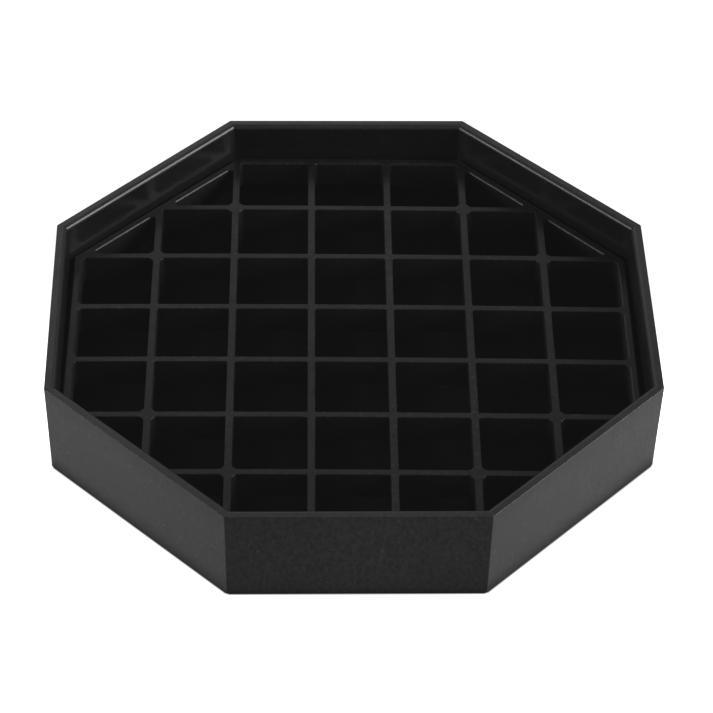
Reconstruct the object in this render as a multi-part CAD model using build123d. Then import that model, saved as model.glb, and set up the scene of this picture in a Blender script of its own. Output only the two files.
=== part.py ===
from build123d import *
import os
from math import radians, tan

# Octagonal drip tray with a lift-out grate: two black plastic mouldings.
# Millimetres. +Z is up and the origin is the centre of the tray's underside.
# The flats of the octagon face +-X and +-Y.

# ---- driving dimensions -------------------------------------------------
across_flats = 152.4        # outside of the rim, flat to flat: 6 inches
height = 26.7               # underside to rim
wall = 2.7                  # wall thickness at the rim
floor_thickness = 2.4
outer_draft = 1.5           # degrees that the outside leans in towards the base
inner_draft = 1.0           # degrees that the inside leans in towards the floor

pitch = 20.3                # spacing of the grate's bars, both ways
bars_each_way = 6
bar_width = 1.9
frame_width = 2.3           # octagonal frame that the bars run into: its square sides
slant_width = 1.9           # and its slanting sides
frame_clearance = 1.0       # between the frame and the tray's wall, at the top of the grate
web_depth = 7.8             # height of the frame and the bars
grate_drop = 9.7            # rim down to the top of the grate
leg_diameter = 4.2          # round legs under the crossings, floor to grate top

grate_turn = -0.65          # degrees; the loose grate lies slightly turned in the tray
grate_shift = (-0.13, -0.22)  # and slightly off its centre

# ---- softened edges -----------------------------------------------------
rim_bevel = 0.4             # inside of the rim, a bevel
base_radius = 0.5           # outside of the base
floor_radius = 1.5          # where the inside of the wall meets the floor
leg_blend = 0.9             # where a leg's boss runs into the bars

# ---- worked-out sizes ---------------------------------------------------
SIDES = 8
flats_turn = 180 / SIDES    # turns the octagon so that its flats face the axes

rim_apothem = across_flats / 2
grate_top = height - grate_drop
grate_bottom = grate_top - web_depth
frame_outer = rim_apothem - wall - grate_drop * tan(radians(inner_draft)) - frame_clearance
bar_offsets = [(i - (bars_each_way - 1) / 2) * pitch for i in range(bars_each_way)]
outer_bar = bar_offsets[-1]
next_bar = bar_offsets[-2]


def octagon(apothem, level=0.0):
    """A regular octagon at a level, sized from its centre to its flats."""
    face = RegularPolygon(apothem, SIDES, major_radius=False, rotation=flats_turn)
    return Pos(0, 0, level) * face


def drafted_block(top_apothem, top, bottom, draft):
    """An octagonal block whose sides lean in by the draft, going down."""
    block = extrude(octagon(top_apothem, top), amount=bottom - top, taper=draft)
    return block


def edges_at(shape, level, reach):
    """Edges of a shape that lie flat at a level, within a reach of the middle."""
    flat = shape.edges().filter_by_position(Axis.Z, level - 0.01, level + 0.01)
    return [edge for edge in flat if edge.center().length < Vector(reach, 0, level).length]


def leg_places():
    """Crossings that carry a leg: two near each of the octagon's upright sides."""
    places = []
    for x_sign in (-1, 1):
        for y_sign in (-1, 1):
            places.append((x_sign * next_bar, y_sign * outer_bar))
            places.append((x_sign * outer_bar, y_sign * next_bar))
    return places


def make_tray():
    """An open octagonal tray with a flat rim, a flat floor and drafted walls."""
    opening_apothem = rim_apothem - wall
    tray = drafted_block(rim_apothem, height, 0, outer_draft)
    tray = tray - drafted_block(opening_apothem, height, floor_thickness, inner_draft)
    tray = fillet(edges_at(tray, floor_thickness, rim_apothem), floor_radius)
    tray = fillet(edges_at(tray, 0, rim_apothem), base_radius)
    tray = chamfer(edges_at(tray, height, opening_apothem + wall / 2), rim_bevel)
    return tray


def frame_opening():
    """The inside of the frame: a square, with its corners cut by a square that stands on its corner."""
    square_side = 2 * (frame_outer - frame_width)
    slanting_side = 2 * (frame_outer - slant_width)
    return Rectangle(square_side, square_side) & Rot(0, 0, 45) * Rectangle(slanting_side, slanting_side)


def grate_outline():
    """The grate seen from above: frame, bars both ways and a boss over each leg."""
    frame = octagon(frame_outer)
    bars = Sketch()
    for offset in bar_offsets:
        bars += Pos(0, offset) * Rectangle(across_flats, bar_width)
        bars += Pos(offset, 0) * Rectangle(bar_width, across_flats)
    for place in leg_places():
        bars += Pos(*place) * Circle(leg_diameter / 2)
    outline = (frame - frame_opening()) + (bars & frame)
    return fillet(boss_corners(outline), leg_blend)


def boss_corners(outline):
    """The corners where a round boss meets the straight sides of the bars."""
    reach = leg_diameter / 2 + 0.01
    corners = []
    for vertex in outline.vertices():
        for place in leg_places():
            if (Vector(vertex) - Vector(*place)).length < reach:
                corners.append(vertex)
    return corners


def make_grate():
    """A square grid of upright bars in an octagonal frame, standing on eight legs."""
    grate = extrude(Pos(0, 0, grate_bottom) * grate_outline(), amount=web_depth)
    for place in leg_places():
        leg = Circle(leg_diameter / 2)
        grate += extrude(Pos(*place, floor_thickness) * leg, amount=grate_bottom - floor_thickness)
    return Pos(*grate_shift) * Rot(0, 0, grate_turn) * grate


os.makedirs("parts", exist_ok=True)
parts = {
    "tray": make_tray(),
    "grate": make_grate(),
}
for node, shape in parts.items():
    export_step(shape, f"parts/{node}.step")
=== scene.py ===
"""Looks of the octagonal drip tray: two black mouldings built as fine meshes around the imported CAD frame.

Metres, +Z up, origin at the centre of the tray's underside. The tray and the grate are each one mesh piece
that replaces its CAD node. Sizes come from the CAD nodes' boxes, or are named here in millimetres.
"""
import math

import bmesh
import bpy
from mathutils import Matrix, Vector


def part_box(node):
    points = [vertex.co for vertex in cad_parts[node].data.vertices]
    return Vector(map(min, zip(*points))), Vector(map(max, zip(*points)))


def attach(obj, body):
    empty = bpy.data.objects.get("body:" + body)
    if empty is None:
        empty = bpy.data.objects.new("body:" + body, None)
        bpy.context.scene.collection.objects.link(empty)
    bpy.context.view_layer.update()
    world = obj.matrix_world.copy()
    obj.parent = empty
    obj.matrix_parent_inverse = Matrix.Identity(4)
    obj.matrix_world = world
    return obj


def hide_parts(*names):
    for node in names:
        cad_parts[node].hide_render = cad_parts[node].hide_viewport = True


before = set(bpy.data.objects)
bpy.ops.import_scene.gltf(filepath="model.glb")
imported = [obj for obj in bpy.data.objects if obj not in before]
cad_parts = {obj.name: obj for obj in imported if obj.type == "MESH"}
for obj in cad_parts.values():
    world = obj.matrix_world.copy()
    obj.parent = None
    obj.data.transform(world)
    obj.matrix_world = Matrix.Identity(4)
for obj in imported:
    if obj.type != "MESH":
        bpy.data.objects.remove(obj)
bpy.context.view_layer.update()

MM = 0.001
SIDES = 8
SIDE_TURN = 2 * math.pi / SIDES
RUN_STEP = 4.0                              # mm between the points of a straight run
CORNER_STEPS = 4                            # facets round a rounded corner
TINY = 0.001                                # mm; closer than this is touching

# ---- tray, mm ------------------------------------------------------------
tray_low, tray_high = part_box("tray")
RIM_APOTHEM = (tray_high.x - tray_low.x) / 2 / MM
RIM_LEVEL = tray_high.z / MM
WALL = 2.7
FLOOR = 2.4
OUTER_DRAFT = math.radians(1.5)
INNER_DRAFT = math.radians(1.0)
FOOT_APOTHEM = RIM_APOTHEM - RIM_LEVEL * math.tan(OUTER_DRAFT)
RIM_INNER_RADIUS = 1.15
RIM_OUTER_RADIUS = 0.16
BASE_RADIUS = 0.5
FLOOR_RADIUS = 1.5
FLAT_RINGS = (12, 30, 50, 68)               # apothems of the rings that divide the floor and the underside
OUTER_CORNER = 0.45                         # radius of the upright corners, outside
INNER_CORNER = 0.8                          # and inside
TRAY_RUN_STEPS = 8                          # parts of each straight side between two corners
GRAINED, SATIN, SMOOTH, DULL = range(4)     # finishes of the tray's surfaces, in the order of its materials

# ---- grate, mm -----------------------------------------------------------
grate_low, grate_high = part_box("grate")
GRATE_TOP = grate_high.z / MM
LEG_FOOT = grate_low.z / MM
WEB_DEPTH = 7.8
PITCH = 20.3
BARS = 6
BAR_WIDTH = 1.9
FRAME_WIDTHS = (2.3, 1.9)                   # of the frame's square sides and of its slanting ones
FRAME_CLEARANCE = 1.0                       # between the frame and the tray's wall, at the grate's top
FRAME_OUTER = RIM_APOTHEM - WALL - (RIM_LEVEL - GRATE_TOP) * math.tan(INNER_DRAFT) - FRAME_CLEARANCE
FRAME_CORNER = 1.4                          # more than its outer edge's radius, which has to go round it
FRAME_RUN_STEPS = 14                        # parts of each straight side between two corners
BOSS_RADIUS = 2.1
BOSS_STEPS = 8                              # facets of a boss's bulge into a cell
LEG_BLEND = 0.9                             # fillet between a leg's boss and the bars
BAR_BLEND = 0.3                             # fillet where two bars cross
FRAME_BLEND = 0.9                           # fillet where a bar runs into the frame
FILLET_SHARE = 0.45                         # the most that a fillet takes of a side of its cell
LEG_TOP_RADIUS = 1.9
LEG_FOOT_RADIUS = 1.7
LEG_EDGE = 0.3                              # bevel round a leg's sole
LEG_FACETS = 24
BAR_EDGE = 0.2                              # radius along the top edges of the bars,
FRAME_INNER_EDGE = 0.8                      # of the frame's inside
FRAME_OUTER_EDGE = 0.5                      # and of its outside
EDGE_STEPS = 4
WEB_FOOT_EDGE = 0.15                        # bevel along the bottom edges of the bars and the frame
WEB_DRAFT = math.radians(1.0)
GRATE_TURN = math.radians(-0.65)            # the loose grate lies slightly turned in the tray
GRATE_SHIFT = Vector((-0.13, -0.22, 0))
DOME = 0.32                                 # the moulding is warped: its middle stands this much high
ACROSS_FALL = 0.50                          # and it falls away by this much towards its left and right ends
ALONG_FALL = 0.48                           # and towards its front and back
TOPS, SIDES_BELOW = range(2)                # finishes of the grate's surfaces, in the order of its materials

TABLE_GAP = 0.1                             # mm from the tray's underside down to the table


# ---- mesh helpers --------------------------------------------------------
def arc(centre, radius, start, end, steps):
    """Points along an arc in the plane, each with its unit direction from the centre."""
    points = []
    for k in range(steps + 1):
        angle = start + (end - start) * k / steps
        way = Vector((math.cos(angle), math.sin(angle)))
        points.append((centre + radius * way, way))
    return points


def with_runs(corners, run_steps=None):
    """Joins the corners' points into one loop, with points added along each straight run."""
    loop = []
    for k, corner in enumerate(corners):
        loop += corner
        end, way = corner[-1]
        start = corners[(k + 1) % len(corners)][0][0]
        steps = run_steps or max(1, round((start - end).length / RUN_STEP))
        loop += [(end.lerp(start, n / steps), way) for n in range(1, steps)]
    return loop


def side_way(k):
    """The way that a side of the octagon faces; side 0 faces +X."""
    return Vector((math.cos(k * SIDE_TURN), math.sin(k * SIDE_TURN)))


def octagon_loop(apothem, corner_radius, run_steps):
    """A regular octagon with rounded corners: points in the plane, each with its outward normal."""
    corners = []
    for k in range(SIDES):
        middle = (k + 0.5) * SIDE_TURN
        reach = (apothem - corner_radius) / math.cos(SIDE_TURN / 2)
        centre = reach * Vector((math.cos(middle), math.sin(middle)))
        start, end = middle - SIDE_TURN / 2, middle + SIDE_TURN / 2
        corners.append(arc(centre, corner_radius, start, end, CORNER_STEPS))
    return with_runs(corners, run_steps)


class Skin:
    """A closed surface under construction, in millimetres. Each point keeps the way that it faces."""

    def __init__(self, placed=lambda point: point, turn=0.0):
        self.bm = bmesh.new()
        self.facing = self.bm.verts.layers.float_vector.new("facing")
        self.placed = placed
        self.turn = Matrix.Rotation(turn, 3, "Z")

    def ring(self, points):
        """A closed ring, from entries of (point, way, offset, level, lean).

        Each point of the plane moves out along its way by the offset, at the level. The surface faces that
        way there, tipped up by the lean.
        """
        ring = []
        for point, way, offset, level, lean in points:
            moved = point + way * offset
            vert = self.bm.verts.new(self.placed(Vector((moved.x, moved.y, level))) * MM)
            level_part = way * math.cos(lean)
            vert[self.facing] = self.turn @ Vector((level_part.x, level_part.y, math.sin(lean)))
            ring.append(vert)
        return ring

    def bridge(self, first, second, finish):
        """Quads between two rings with the same number of points."""
        count = len(first)
        for k in range(count):
            n = (k + 1) % count
            quad = self.bm.faces.new((first[k], first[n], second[n], second[k]))
            quad.material_index = finish

    def cap(self, ring, finish):
        self.bm.faces.new(ring).material_index = finish

    def sheet(self, rings, finish):
        """Fills the flat space bounded by the rings: the first is its outline, the others are its holes."""
        edges = []
        for ring in rings:
            edges += [self.bm.edges.get((ring[k - 1], ring[k])) for k in range(len(ring))]
        filled = bmesh.ops.triangle_fill(self.bm, use_beauty=True, use_dissolve=False, edges=edges)
        for part in filled["geom"]:
            if isinstance(part, bmesh.types.BMFace):
                part.material_index = finish

    def finished(self, name, finishes):
        """The object, shaded with the ways that its points were given."""
        bmesh.ops.recalc_face_normals(self.bm, faces=self.bm.faces)
        for face in self.bm.faces:
            face.smooth = True
        facing = [vert[self.facing].copy() for vert in self.bm.verts]
        self.bm.verts.layers.float_vector.remove(self.facing)
        mesh = bpy.data.meshes.new(name)
        self.bm.to_mesh(mesh)
        self.bm.free()
        mesh.normals_split_custom_set_from_vertices(facing)
        obj = bpy.data.objects.new(name, mesh)
        bpy.context.scene.collection.objects.link(obj)
        for material in finishes:
            mesh.materials.append(material)
        return obj


# ---- tray ----------------------------------------------------------------
def round_edge(apothem, level, radius, start, end, finish, hollow=False, steps=5):
    """A rounded edge of the section about a centre, from one angle to another in degrees."""
    entries = []
    for k in range(steps + 1):
        angle = math.radians(start + (end - start) * k / steps)
        lean = angle + math.pi if hollow else angle
        entries.append((apothem + radius * math.cos(angle), level + radius * math.sin(angle), lean, finish))
    return entries


def outside_section():
    """Section of the tray from the middle of the underside to the rim: apothem, level, lean and finish.

    The finish is that of the band that ends there.
    """
    section = [(apothem, 0, -math.pi / 2, GRAINED) for apothem in FLAT_RINGS]
    section += round_edge(FOOT_APOTHEM - BASE_RADIUS, BASE_RADIUS, BASE_RADIUS, -90, 0, DULL)
    for share in (0.25, 0.5, 0.75):
        level = RIM_LEVEL * share
        section.append((FOOT_APOTHEM + level * math.tan(OUTER_DRAFT), level, -OUTER_DRAFT, GRAINED))
    edge = RIM_OUTER_RADIUS
    shoulder = (RIM_APOTHEM - edge, RIM_LEVEL - edge, edge)     # the grain gives way to the satin rim on it
    section += round_edge(*shoulder, 0, 35, GRAINED, steps=2)
    section += round_edge(*shoulder, 50, 90, SATIN, steps=2)
    return section


def inside_section():
    """Section of the tray from the rim down to the middle of its floor, as for the outside."""
    opening = RIM_APOTHEM - WALL
    floor_edge = opening - (RIM_LEVEL - FLOOR) * math.tan(INNER_DRAFT)
    web_foot = GRATE_TOP - WEB_DEPTH
    edge = RIM_INNER_RADIUS
    section = round_edge(opening + edge, RIM_LEVEL - edge, edge, 90, 180, SATIN)
    for level, finish in ((GRATE_TOP, SMOOTH), ((GRATE_TOP + web_foot) / 2, SMOOTH), (web_foot, DULL)):
        apothem = floor_edge + (level - FLOOR) * math.tan(INNER_DRAFT)
        section.append((apothem, level, math.pi - INNER_DRAFT, finish))
    foot = FLOOR_RADIUS
    section += round_edge(floor_edge - foot, FLOOR + foot, foot, 0, -90, DULL, hollow=True)
    section += [(apothem, FLOOR, math.pi / 2, DULL) for apothem in reversed(FLAT_RINGS)]
    return section


def make_tray(finishes):
    """The tray, as octagonal rings along its section, closed by a small octagon at each end."""
    skin = Skin()
    outside, inside = outside_section(), inside_section()
    section = outside + inside
    corners = [OUTER_CORNER] * len(outside) + [INNER_CORNER] * len(inside)
    rings = []
    for (apothem, level, lean, _), corner in zip(section, corners):
        loop = octagon_loop(apothem, corner, TRAY_RUN_STEPS)
        rings.append(skin.ring([(point, way, 0, level, lean) for point, way in loop]))
    for before, after, entry in zip(rings, rings[1:], section[1:]):
        skin.bridge(before, after, entry[-1])
    skin.cap(rings[0], GRAINED)
    skin.cap(rings[-1], DULL)
    return skin.finished("tray_moulding", finishes)


# ---- grate ---------------------------------------------------------------
def bar_offsets():
    return [(k - (BARS - 1) / 2) * PITCH for k in range(BARS)]


def leg_places():
    """Crossings that stand on a leg: two along each slanting side of the octagon."""
    outer, inner = bar_offsets()[-1], bar_offsets()[-2]
    places = []
    for sx in (-1, 1):
        for sy in (-1, 1):
            places += [Vector((sx * inner, sy * outer)), Vector((sx * outer, sy * inner))]
    return places


def frame_inner(k):
    """How far the inside of the frame's side k is from the grate's middle."""
    return FRAME_OUTER - FRAME_WIDTHS[k % 2]


def past_frame_inner(point):
    """How far a point lies outside the frame's inner outline; below zero inside it."""
    return max(point.dot(side_way(k)) - frame_inner(k) for k in range(SIDES))


def cell_lines(i, j):
    """The straight sides of a cell as (outward normal, distance from the grate's middle)."""
    lines = []
    last = (BARS + 1) // 2
    reach = PITCH / 2 - BAR_WIDTH / 2
    for axis, n in ((Vector((1, 0)), i), (Vector((0, 1)), j)):
        for sign in (-1, 1):
            if sign * n < last:
                lines.append((axis * sign, sign * n * PITCH + reach))
    lines += [(side_way(k), frame_inner(k)) for k in range(SIDES)]
    return lines


def crossing(first, second):
    """Where two lines given as (normal, distance) meet, or None if they are parallel."""
    (a, p), (b, q) = first, second
    det = a.x * b.y - a.y * b.x
    if abs(det) < TINY:
        return None
    return Vector(((p * b.y - q * a.y) / det, (a.x * q - b.x * p) / det))


def cell_corners(i, j):
    """The cell's corners in order, each with the normals of the sides that meet there."""
    lines = cell_lines(i, j)
    corners = []
    for m, first in enumerate(lines):
        for second in lines[m + 1:]:
            point = crossing(first, second)
            if point and all(way.dot(point) <= reach + TINY for way, reach in lines):
                before, after = first[0], second[0]
                if before.x * after.y - before.y * after.x < 0:
                    before, after = after, before
                corners.append((point, before, after))
    if len(corners) < 3:
        return []
    middle = sum((c[0] for c in corners), Vector((0, 0))) / len(corners)
    corners.sort(key=lambda c: math.atan2(c[0].y - middle.y, c[0].x - middle.x))
    return corners


def angle_of(way):
    return math.atan2(way.y, way.x)


def plain_corner(point, before, after, blend, room):
    """A rounded corner of a cell, with its outward directions turning from one side's to the next's.

    The fillet is smaller than the blend where the corner has less room than that along its sides.
    """
    start = angle_of(before)
    turn = (angle_of(after) - start) % (2 * math.pi)
    radius = min(blend, room / math.tan(turn / 2))
    bisector = (before + after).normalized()
    centre = point - bisector * radius / math.cos(turn / 2)
    return arc(centre, radius, start, start + turn, CORNER_STEPS)


def boss_corner(before, after, boss):
    """A corner that a leg's round boss bulges into, with a fillet on each side of the boss."""
    along_before = Vector((-before.y, before.x))        # the way round the cell, along the first side
    along_after = Vector((-after.y, after.x))
    half_bar = BAR_WIDTH / 2
    rise = half_bar + LEG_BLEND
    run = math.sqrt((BOSS_RADIUS + LEG_BLEND) ** 2 - rise ** 2)
    first = boss - before * rise - along_before * run
    second = boss - after * rise + along_after * run
    in_first = angle_of(boss - first)
    in_second = angle_of(boss - second)
    corner = arc_between(first, LEG_BLEND, angle_of(before), in_first, CORNER_STEPS)
    bulge = arc_between(boss, BOSS_RADIUS, in_first + math.pi, in_second + math.pi, BOSS_STEPS)
    corner += [(point, -way) for point, way in bulge[1:-1]]
    corner += arc_between(second, LEG_BLEND, in_second, angle_of(after), CORNER_STEPS)
    return corner


def arc_between(centre, radius, start, end, steps):
    """An arc from one direction to another by the shorter way."""
    turn = (end - start + math.pi) % (2 * math.pi) - math.pi
    return arc(centre, radius, start, start + turn, steps)


def cell_loop(i, j):
    """A cell's outline with, at each point, the way that the plastic faces there; None off the grate."""
    half_bar = BAR_WIDTH / 2
    corners = cell_corners(i, j)
    shaped = []
    for k, (point, before, after) in enumerate(corners):
        neighbours = (corners[k - 1][0], corners[(k + 1) % len(corners)][0])
        room = FILLET_SHARE * min((point - other).length for other in neighbours)
        crossing_point = point + (before + after) * half_bar
        boss = [place for place in leg_places() if (place - crossing_point).length < half_bar]
        at_frame = past_frame_inner(point) > -TINY
        if boss:
            shaped.append(boss_corner(before, after, boss[0]))
        else:
            shaped.append(plain_corner(point, before, after, FRAME_BLEND if at_frame else BAR_BLEND, room))
    return [(point, -way) for point, way in with_runs(shaped)] if shaped else None


def cell_loops():
    """All the grate's openings, square ones and the triangular ones along its slanting sides."""
    last = (BARS + 1) // 2
    loops = []
    for i in range(-last, last + 1):
        for j in range(-last, last + 1):
            loop = cell_loop(i, j)
            if loop:
                loops.append(loop)
    return loops


def edge_radius(point):
    """The radius along the top edge at a point of a loop: outside the frame, inside it, or along a bar."""
    past = past_frame_inner(point)
    if past > TINY:
        return FRAME_OUTER_EDGE
    if past > -TINY:
        return FRAME_INNER_EDGE
    return BAR_EDGE


def web_profile(edge):
    """The side of a web from top to bottom: how far it stands out, the level and its lean."""
    profile = []
    for k in range(EDGE_STEPS + 1):
        lean = math.pi / 2 * (1 - k / EDGE_STEPS)
        profile.append((edge * (math.cos(lean) - 1), GRATE_TOP - edge * (1 - math.sin(lean)), lean))
    slope = math.tan(WEB_DRAFT)
    bottom = GRATE_TOP - WEB_DEPTH
    for level in (GRATE_TOP - WEB_DEPTH / 2, bottom + WEB_FOOT_EDGE):
        profile.append((-slope * (GRATE_TOP - level), level, -WEB_DRAFT))
    profile.append((-slope * WEB_DEPTH - WEB_FOOT_EDGE, bottom, -math.pi / 2))
    return profile


def add_web_side(skin, loop):
    """The upright side of the webs round a loop. Returns its top and bottom rings."""
    profiles = [web_profile(edge_radius(point)) for point, _ in loop]
    rings = [skin.ring([(*place, *step) for place, step in zip(loop, steps)]) for steps in zip(*profiles)]
    for k, (upper, lower) in enumerate(zip(rings, rings[1:])):
        skin.bridge(upper, lower, TOPS if k < EDGE_STEPS else SIDES_BELOW)
    return rings[0], rings[-1]


def settled(point):
    """A point of the grate as it lies: warped, turned and shifted."""
    height_share = (point.z - LEG_FOOT) / (GRATE_TOP - LEG_FOOT)
    half = PITCH * (BARS + 1) / 2
    rise = DOME - ACROSS_FALL * (point.x / half) ** 2 - ALONG_FALL * (point.y / half) ** 2
    warped = Vector((point.x, point.y, point.z + rise * height_share))
    return Matrix.Rotation(GRATE_TURN, 3, "Z") @ warped + GRATE_SHIFT


def add_leg(skin, place):
    """A round leg from the underside of the web to the tray's floor. Returns its top ring."""
    under = GRATE_TOP - WEB_DEPTH
    ways = [way for _, way in arc(place, 1, 0, 2 * math.pi, LEG_FACETS)[:-1]]
    taper = -math.atan((LEG_TOP_RADIUS - LEG_FOOT_RADIUS) / (under - LEG_FOOT))
    top = skin.ring([(place, way, LEG_TOP_RADIUS, under, taper) for way in ways])
    ankle = skin.ring([(place, way, LEG_FOOT_RADIUS, LEG_FOOT + LEG_EDGE, taper) for way in ways])
    sole = skin.ring([(place, way, LEG_FOOT_RADIUS - LEG_EDGE, LEG_FOOT, -math.pi / 2) for way in ways])
    skin.bridge(top, ankle, SIDES_BELOW)
    skin.bridge(ankle, sole, SIDES_BELOW)
    skin.cap(sole, SIDES_BELOW)
    return top


def make_grate(finishes):
    """The grate: every upright wall swept round its loop, then the top and the underside filled in."""
    skin = Skin(settled, GRATE_TURN)
    outline = octagon_loop(FRAME_OUTER, FRAME_CORNER, FRAME_RUN_STEPS)
    sides = [add_web_side(skin, loop) for loop in [outline] + cell_loops()]
    tops = [top for top, _ in sides]
    bottoms = [bottom for _, bottom in sides]
    bottoms += [add_leg(skin, place) for place in leg_places()]
    skin.sheet(tops, TOPS)
    skin.sheet(bottoms, SIDES_BELOW)
    return skin.finished("grate_moulding", finishes)


# ---- materials -----------------------------------------------------------
class Nodes:
    """A material's node tree, with short calls to add and join nodes."""

    def __init__(self, name):
        self.material = bpy.data.materials.new(name)
        self.material.use_nodes = True
        self.tree = self.material.node_tree
        self.shader = self.tree.nodes["Principled BSDF"]
        self.position = self.tree.nodes.new("ShaderNodeTexCoord").outputs["Object"]

    def add(self, kind, inputs=(), **settings):
        node = self.tree.nodes.new(kind)
        for key, value in settings.items():
            setattr(node, key, value)
        for socket, value in dict(inputs).items():
            self.feed(node.inputs[socket], value)
        return node

    def feed(self, socket, value):
        if isinstance(value, bpy.types.NodeSocket):
            self.tree.links.new(value, socket)
        else:
            socket.default_value = value

    def noise(self, per_metre, detail=2.0, roughness=0.5, stretch=(1, 1, 1)):
        """Noise around 0.5, drawn out along an axis where its stretch is above 1."""
        squeeze = tuple(per_metre / share for share in stretch)
        place = self.add("ShaderNodeVectorMath", {0: self.position, 1: squeeze}, operation="MULTIPLY")
        inputs = {"Vector": place.outputs["Vector"], "Scale": 1, "Detail": detail, "Roughness": roughness}
        return self.add("ShaderNodeTexNoise", inputs).outputs["Fac"]

    def joined(self, operation, first, second):
        return self.add("ShaderNodeMath", {0: first, 1: second}, operation=operation).outputs["Value"]

    def spread(self, value, low, high, from_low=0.3, from_high=0.7):
        """A value rescaled from one range to another, held inside the new one."""
        inputs = {"Value": value, "From Min": from_low, "From Max": from_high, "To Min": low, "To Max": high}
        return self.add("ShaderNodeMapRange", inputs).outputs["Result"]

    def bump(self, height, distance, normal=None):
        inputs = {"Height": height, "Distance": distance, "Strength": 1.0}
        if normal:
            inputs["Normal"] = normal
        return self.add("ShaderNodeBump", inputs).outputs["Normal"]


def black_plastic(name, tone, roughness, grain, specular, mottling=0.3, dust=0.0):
    """Black moulded plastic: fine spark-eroded grain, flow marks, a slightly uneven sheen and specks of dust.

    The grain is given by its height in metres, and the roughness as the range that it wanders over. The
    mottling is the share by which the tone varies over a millimetre, and dust is the tone of the specks.
    """
    nodes = Nodes(name)
    flow = nodes.spread(nodes.noise(per_metre=45, detail=4), 0.8 * tone, 1.25 * tone)
    upright_marks = nodes.noise(per_metre=1100, detail=3, roughness=0.6, stretch=(1, 1, 1.8))
    shade = nodes.joined("MULTIPLY", flow, nodes.spread(upright_marks, 1 - mottling, 1 + mottling))
    dusty_patches = nodes.spread(nodes.noise(per_metre=60, detail=2), 0.3, 1.0)
    specks = nodes.spread(nodes.noise(per_metre=900, detail=1), 0.0, dust, from_low=0.66, from_high=0.78)
    shade = nodes.joined("ADD", shade, nodes.joined("MULTIPLY", specks, dusty_patches))
    colour = nodes.add("ShaderNodeCombineColor", {"Red": shade, "Green": shade, "Blue": shade}, mode="RGB")
    nodes.feed(nodes.shader.inputs["Base Color"], colour.outputs["Color"])
    sheen_patches = nodes.noise(per_metre=120, detail=3)
    nodes.feed(nodes.shader.inputs["Roughness"], nodes.spread(sheen_patches, *roughness))
    nodes.shader.inputs["Specular IOR Level"].default_value = specular
    nodes.shader.inputs["IOR"].default_value = 1.52
    waviness = nodes.bump(nodes.noise(per_metre=60, detail=1), distance=0.00006)
    marks = nodes.bump(upright_marks, distance=0.00003 * mottling, normal=waviness)
    fine_noise = nodes.noise(per_metre=2600, detail=2, roughness=0.6)
    nodes.feed(nodes.shader.inputs["Normal"], nodes.bump(fine_noise, distance=grain, normal=marks))
    return nodes.material


# ---- stage, light and camera ---------------------------------------------
def make_floor():
    """A white table top, a hair below the tray's underside, whose glow paints the tray's contact shadow and
    the shade near its foot.
    """
    reach = 3.0
    level = -TABLE_GAP * MM
    corners = [(-reach, -reach, level), (reach, -reach, level), (reach, reach, level), (-reach, reach, level)]
    mesh = bpy.data.meshes.new("table_top")
    mesh.from_pydata(corners, [], [(0, 1, 2, 3)])
    floor = bpy.data.objects.new("table_top", mesh)
    bpy.context.scene.collection.objects.link(floor)
    mesh.materials.append(white_with_painted_shadow())


def white_with_painted_shadow():
    """White that glows: most in front of the tray, and there more towards its left and right, which is
    painted light; less close to its foot, which is painted shade; and not at all under it, which is a painted
    contact shadow.
    """
    foot = FOOT_APOTHEM * MM
    foot_corner = foot / math.cos(SIDE_TURN / 2)
    nodes = Nodes("white_table_painted_shadow")
    nodes.shader.inputs["Base Color"].default_value = (0.05, 0.05, 0.05, 1)
    nodes.shader.inputs["Roughness"].default_value = 0.9
    nodes.shader.inputs["Specular IOR Level"].default_value = 0.0
    nodes.shader.inputs["Emission Color"].default_value = (1, 1, 1, 1)
    reach = 0.0
    for k in range(SIDES):
        inputs = {0: nodes.position, 1: (*side_way(k), 0)}
        along = nodes.add("ShaderNodeVectorMath", inputs, operation="DOT_PRODUCT")
        reach = nodes.joined("MAXIMUM", reach, along.outputs["Value"])
    from_middle = nodes.add("ShaderNodeVectorMath", {0: nodes.position}, operation="LENGTH").outputs["Value"]
    # painted contact shadow: the glow dies out under the tray's foot and round its corners
    past_painted_shadow_beside = nodes.spread(reach, 0.0, 1.0, from_low=foot - 0.2 * MM, from_high=foot + 0.3 * MM)
    past_painted_shadow_off_corners = nodes.spread(from_middle, 0.0, 1.0, from_low=foot_corner - 0.4 * MM, from_high=foot_corner)
    outside_painted_contact_shadow = nodes.joined("MAXIMUM", past_painted_shadow_beside, past_painted_shadow_off_corners)
    # painted shade: in front, the glow is weaker close to the foot and grows outwards
    painted_shade_band_end = foot + 2.5 * MM
    rise_from_painted_shade_close = nodes.spread(reach, 0.0, 1.2, from_low=foot + 0.2 * MM, from_high=painted_shade_band_end)
    rise_from_painted_shade_far = nodes.spread(reach, 0.0, 0.9, from_low=painted_shade_band_end, from_high=0.13)
    place = nodes.add("ShaderNodeSeparateXYZ", {0: nodes.position})
    front_share_of_painted_light = nodes.spread(place.outputs["Y"], 1.0, 0.0, from_low=-0.03, from_high=0.03)
    across = nodes.joined("ABSOLUTE", place.outputs["X"], 0.0)
    # painted light: the glow in front grows towards the left and right
    painted_side_light_share = nodes.spread(across, 0.95, 1.3, from_low=0.03, from_high=0.08)
    painted_light_and_shade_off_foot = nodes.joined("MULTIPLY", nodes.joined("ADD", rise_from_painted_shade_close, rise_from_painted_shade_far), front_share_of_painted_light)
    plain_white = 1.05
    glow = nodes.joined("ADD", nodes.joined("MULTIPLY", painted_light_and_shade_off_foot, painted_side_light_share), plain_white)
    nodes.feed(nodes.shader.inputs["Emission Strength"], nodes.joined("MULTIPLY", glow, outside_painted_contact_shadow))
    return nodes.material


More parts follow.
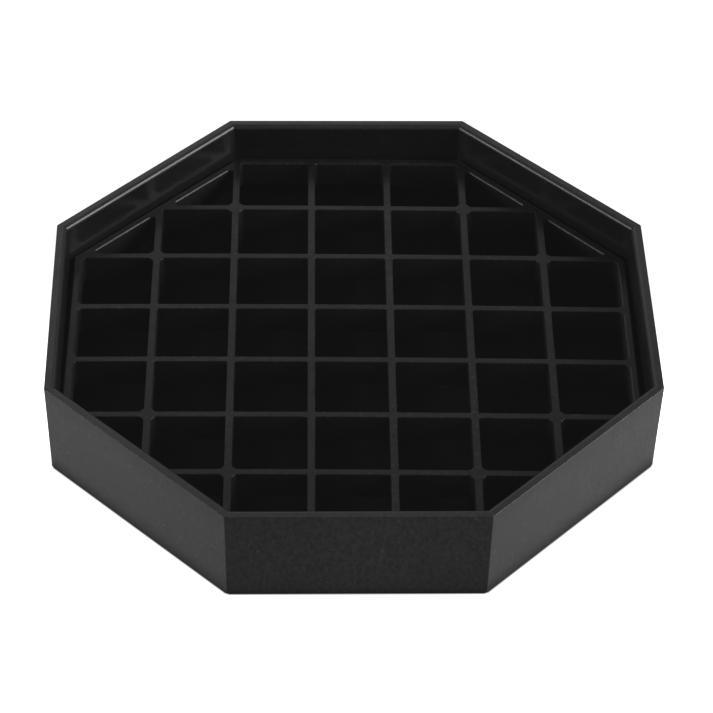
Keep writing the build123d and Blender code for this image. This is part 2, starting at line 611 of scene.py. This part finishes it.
def add_softbox(name, way, distance, size, glow):
    """A rectangular area light that faces the tray. Its glow is its brightness, where plain white is 1."""
    width, height = size
    light = bpy.data.lights.new(name, "AREA")
    light.shape = "RECTANGLE"
    light.size, light.size_y = size
    light.energy = glow * math.pi * width * height
    lamp = bpy.data.objects.new(name, light)
    bpy.context.scene.collection.objects.link(lamp)
    lamp.location = Vector(way).normalized() * distance
    lamp.rotation_euler = (-lamp.location).to_track_quat("-Z", "Y").to_euler()


def make_lights():
    """A small bright softbox on each side and a broad soft one behind, in a dim pale room."""
    add_softbox("softbox_right", way=(0.86, -0.09, 0.42), distance=0.9, size=(0.5, 0.5), glow=14.0)
    add_softbox("softbox_left", way=(-0.86, -0.09, 0.25), distance=0.9, size=(0.5, 0.3), glow=12.0)
    add_softbox("softbox_back", way=(-0.3, 1.0, 0.72), distance=1.3, size=(1.0, 0.5), glow=0.8)
    world = bpy.data.worlds.new("studio")
    world.use_nodes = True
    world.node_tree.nodes["Background"].inputs["Color"].default_value = (1, 1, 1, 1)
    world.node_tree.nodes["Background"].inputs["Strength"].default_value = 0.32
    bpy.context.scene.world = world


def set_film():
    """Plain colours, with the faint veil that a white surround spreads over the darkest tones."""
    veil = 0.0048
    view = bpy.context.scene.view_settings
    view.view_transform = "Standard"
    view.use_curve_mapping = True
    view.curve_mapping.black_level = (-veil, -veil, -veil)
    view.curve_mapping.update()


def make_camera():
    """The view of the picture: from the front, a little to the left, 42 degrees down."""
    data = bpy.data.cameras.new("camera")
    camera = bpy.data.objects.new("camera", data)
    bpy.context.scene.collection.objects.link(camera)
    eye = Vector((-0.0206, -0.5800, 0.5299))
    elevation, azimuth, roll = math.radians(41.91), math.radians(-2.171), math.radians(1.381)
    tilt = Matrix.Rotation(math.pi / 2 - elevation, 3, "X")
    swing = Matrix.Rotation(azimuth, 3, "Z")
    turn = swing @ tilt @ Matrix.Rotation(roll, 3, "Z")
    camera.matrix_world = Matrix.Translation(eye) @ turn.to_4x4()
    data.sensor_width = 36
    data.lens = 153.17
    data.clip_start = 0.05
    data.clip_end = 20
    bpy.context.scene.camera = camera


tray_finishes = [
    black_plastic("tray_plastic_grained", tone=0.003, roughness=(0.20, 0.28), grain=0.00003, specular=0.03,
                  mottling=0.8, dust=0.012),
    black_plastic("tray_plastic_satin", tone=0.008, roughness=(0.30, 0.40), grain=0.00001, specular=0.32,
                  mottling=0.5, dust=0.02),
    black_plastic("tray_plastic_smooth", tone=0.005, roughness=(0.20, 0.26), grain=0.000004, specular=0.45),
    black_plastic("tray_plastic_dull", tone=0.0035, roughness=(0.75, 0.85), grain=0.00002, specular=0.02),
]
grate_finishes = [
    black_plastic("grate_plastic_satin", tone=0.006, roughness=(0.26, 0.36), grain=0.00001, specular=0.15,
                  mottling=0.6, dust=0.02),
    black_plastic("grate_plastic_dull", tone=0.006, roughness=(0.75, 0.85), grain=0.00001, specular=0.02),
]

tray = make_tray(tray_finishes)
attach(tray, "tray")
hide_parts("tray")

grate = make_grate(grate_finishes)
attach(grate, "grate")
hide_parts("grate")

make_floor()
make_lights()
make_camera()
set_film()
